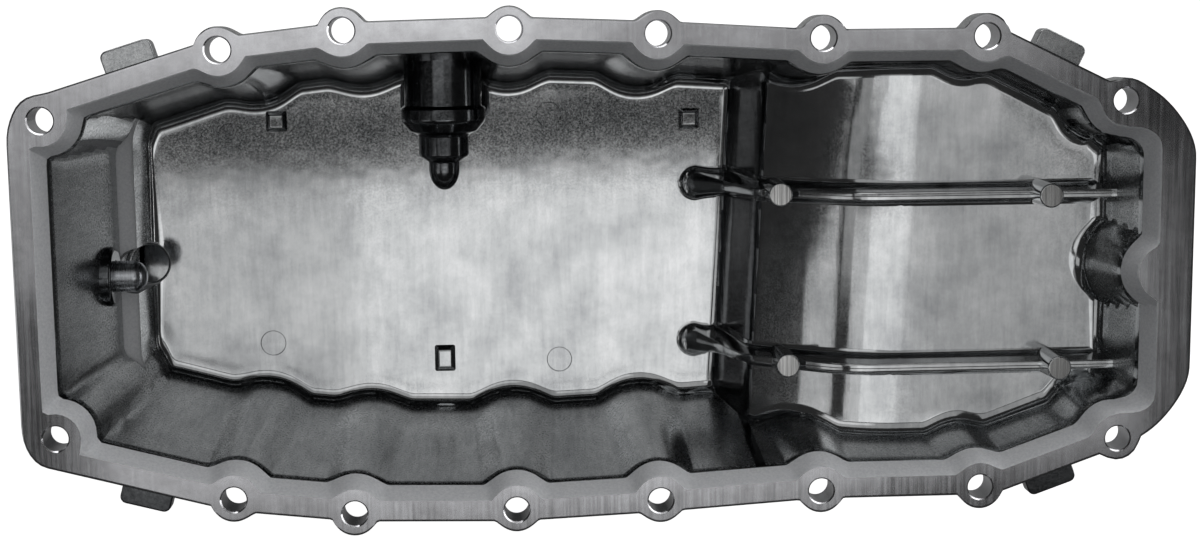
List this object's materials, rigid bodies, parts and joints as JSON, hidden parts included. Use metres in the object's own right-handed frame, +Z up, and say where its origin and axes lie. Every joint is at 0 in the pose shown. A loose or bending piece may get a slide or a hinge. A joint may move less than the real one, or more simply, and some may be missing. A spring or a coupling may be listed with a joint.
{
  "type": "engine oil pan",
  "caption": "Cast aluminium engine oil pan with a deep sump, a shallow ribbed chamber, a bolted sealing flange and a screw plug.",
  "frame": {"origin": "middle of the pan's box, at the level of the underside of the sump", "axes": "+X along the engine from the deep sump to the shallow chamber, +Z up, square to the sealing face, and +Y to the side of the sensor boss"},
  "size_m": [0.4228, 0.1894, 0.105],
  "materials": {
    "cast_aluminium": "satin",
    "plug_steel": "satin",
    "washer_copper": "satin"
  },
  "bodies": {
    "root": {"pan_casting": "cast_aluminium", "screw_plug": "plug_steel", "plug_washer": "washer_copper"}
  },
  "joints": []
}
